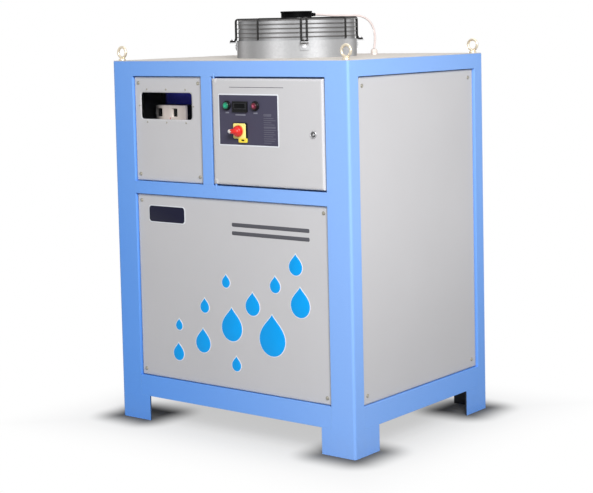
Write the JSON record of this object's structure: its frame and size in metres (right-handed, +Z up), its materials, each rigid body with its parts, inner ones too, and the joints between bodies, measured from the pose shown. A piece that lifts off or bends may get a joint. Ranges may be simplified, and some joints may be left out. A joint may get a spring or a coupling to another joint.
{
  "type": "air cooled water chiller",
  "caption": "Free-standing water chiller: sheet steel cabinet on legs with screwed panels, a sight window, a hinged control door and an axial fan with a wire guard on top.",
  "frame": {"origin": "on the floor, under the middle of the overall box of the chiller with its switch handle", "axes": "+Z up, the control door and sight window face -Y, +X to the right seen from the front"},
  "size_m": [0.94, 0.768, 1.308],
  "materials": {
    "frame_blue": "satin powder coat",
    "panel_grey": "satin powder coat",
    "top_plate_grey": "satin powder coat",
    "clear_pane": "clear",
    "cream_plastic": "moulded",
    "galvanised_sheet": "galvanised",
    "bright_steel": "bright",
    "slate_overlay": "printed film",
    "green_lens": "clear lens",
    "red_lens": "clear lens",
    "black_plastic": "moulded",
    "yellow_plastic": "moulded",
    "red_plastic": "moulded",
    "black_wire": "coated wire",
    "black_motor": "satin",
    "grey_nylon": "moulded",
    "white_cable": "sheathed",
    "yellow_zinc": "yellow passivated zinc"
  },
  "bodies": {
    "cabinet": {"post_front_left": "frame_blue", "post_front_right": "frame_blue", "post_rear_left": "frame_blue", "post_rear_right": "frame_blue", "front_top_rail": "frame_blue", "front_mid_rail": "frame_blue", "front_bottom_rail": "frame_blue", "front_mullion": "frame_blue", "rear_top_rail": "frame_blue", "rear_bottom_rail": "frame_blue", "left_top_rail": "frame_blue", "left_bottom_rail": "frame_blue", "right_top_rail": "frame_blue", "right_bottom_rail": "frame_blue", "top_plate": "top_plate_grey", "base_plate": "top_plate_grey", "sight_panel": "panel_grey", "sight_pane": "clear_pane", "lower_front_panel": "panel_grey", "left_panel": "panel_grey", "right_panel": "panel_grey", "rear_panel": "panel_grey", "gauge_box": "frame_blue", "pressure_control": "cream_plastic", "control_box": "frame_blue", "mounting_plate": "galvanised_sheet", "hinge_pins": "bright_steel", "fan_shroud": "galvanised_sheet", "fan_guard": "black_wire", "fan_motor": "black_motor", "cable_gland": "grey_nylon", "fan_cable": "white_cable", "lifting_eyes": "yellow_zinc"},
    "door": {"control_door": "panel_grey", "overlay_plate": "slate_overlay", "green_lamp": "green_lens", "red_lamp": "red_lens", "controller": "black_plastic", "switch_plate": "yellow_plastic", "lock_collar": "bright_steel"},
    "switch": {"switch_handle": "red_plastic"},
    "lock": {"lock_cam": "bright_steel"},
    "fan": {"fan_impeller": "black_motor"}
  },
  "joints": [
    {"name": "door_hinge", "type": "hinge", "parent": "cabinet", "child": "door", "pos_m": [-0.041, -0.344, 0.9455], "axis": [0, 0, -1], "range_deg": [0, 110]},
    {"name": "switch_turn", "type": "hinge", "parent": "door", "child": "switch", "pos_m": [0.066, -0.35, 0.9495], "axis": [0, 1, 0], "range_deg": [0, 90]},
    {"name": "lock_turn", "type": "hinge", "parent": "door", "child": "lock", "pos_m": [0.3435, -0.349, 0.9455], "axis": [0, 1, 0], "range_deg": [0, 90]},
    {"name": "fan_spin", "type": "hinge", "parent": "cabinet", "child": "fan", "pos_m": [0, 0.019, 1.2], "axis": [0, 0, 1], "continuous": true}
  ]
}
